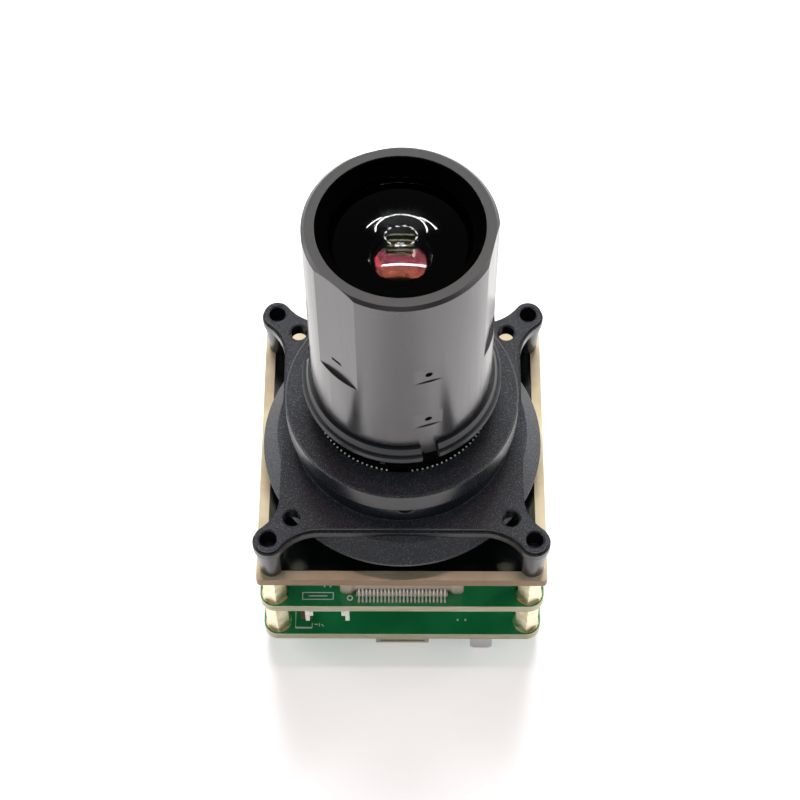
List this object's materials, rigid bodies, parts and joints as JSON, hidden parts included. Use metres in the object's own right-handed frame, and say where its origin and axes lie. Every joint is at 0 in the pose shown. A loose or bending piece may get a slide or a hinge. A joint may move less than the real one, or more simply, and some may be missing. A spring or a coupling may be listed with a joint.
{
  "type": "camera module",
  "caption": "Board-level camera module: a long wide-angle lens screwed into a moulded holder on a stack of square circuit boards joined by standoffs and board connectors.",
  "frame": {"origin": "on the optical axis, in the plane on which the lowest connectors stand", "axes": "+Z along the optical axis, the way the lens looks; -Y towards the board edge with the visible connector row and the lock screw; +X to the right seen from that edge"},
  "size_m": [0.038, 0.038, 0.0749],
  "materials": {
    "barrel_moulding": "black glass-filled plastic, semi-matte moulded surface",
    "lens_trim": "black plastic, matte",
    "holder_moulding": "dark slate plastic, spark-textured",
    "optical_glass": "polished glass with thin-film coating",
    "seal_rubber": "matte black rubber",
    "screw_steel": "plain steel",
    "mask_black": "black solder mask on glass-fibre board",
    "mask_green": "green solder mask on glass-fibre board",
    "package_ceramic": "dark ceramic package",
    "silicon": "polished silicon",
    "connector_plastic": "beige high-temperature plastic",
    "connector_black": "black high-temperature plastic",
    "connector_white": "white nylon",
    "contact_gold": "gold-plated copper alloy",
    "standoff_brass": "turned brass, plain",
    "chip_epoxy": "black moulding compound",
    "capacitor_ceramic": "ceramic body with tinned ends",
    "crystal_can": "plated steel can",
    "spring_wire": "tinned spring wire",
    "inductor_ferrite": "grey ferrite"
  },
  "bodies": {
    "root": {"lens_barrel": "barrel_moulding", "lock_ring": "barrel_moulding", "hood_ring": "lens_trim", "front_seal": "seal_rubber", "front_element": "optical_glass", "second_element": "optical_glass", "front_spacer": "lens_trim", "aperture_stop": "lens_trim", "doublet_front": "optical_glass", "doublet_rear": "optical_glass", "middle_spacer": "lens_trim", "field_element": "optical_glass", "rear_spacer": "lens_trim", "rear_element": "optical_glass", "rear_retainer": "lens_trim", "lens_holder": "holder_moulding", "lock_screw": "screw_steel", "ir_filter": "optical_glass", "dust_gasket": "seal_rubber", "sensor_board": "mask_black", "image_sensor": "package_ceramic", "sensor_die": "silicon", "sensor_cover_glass": "optical_glass", "sensor_capacitors": "capacitor_ceramic", "sensor_plug": "connector_plastic", "sensor_plug_contacts": "contact_gold", "sensor_socket": "connector_plastic", "sensor_socket_contacts": "contact_gold", "upper_standoffs": "standoff_brass", "interface_board": "mask_green", "processor_chip": "chip_epoxy", "memory_chip": "chip_epoxy", "clock_crystal": "crystal_can", "interface_capacitors": "capacitor_ceramic", "ground_spring": "spring_wire", "link_plug": "connector_plastic", "link_plug_contacts": "contact_gold", "link_socket": "connector_plastic", "link_socket_contacts": "contact_gold", "lower_standoffs": "standoff_brass", "base_board": "mask_green", "power_inductors": "inductor_ferrite", "regulator_chip": "chip_epoxy", "base_capacitors": "capacitor_ceramic", "output_connectors": "connector_black", "output_contacts": "contact_gold", "power_receptacle": "connector_white", "power_pins": "contact_gold", "flex_connector": "connector_black", "flex_contacts": "contact_gold", "fixing_screws": "screw_steel"}
  },
  "joints": []
}
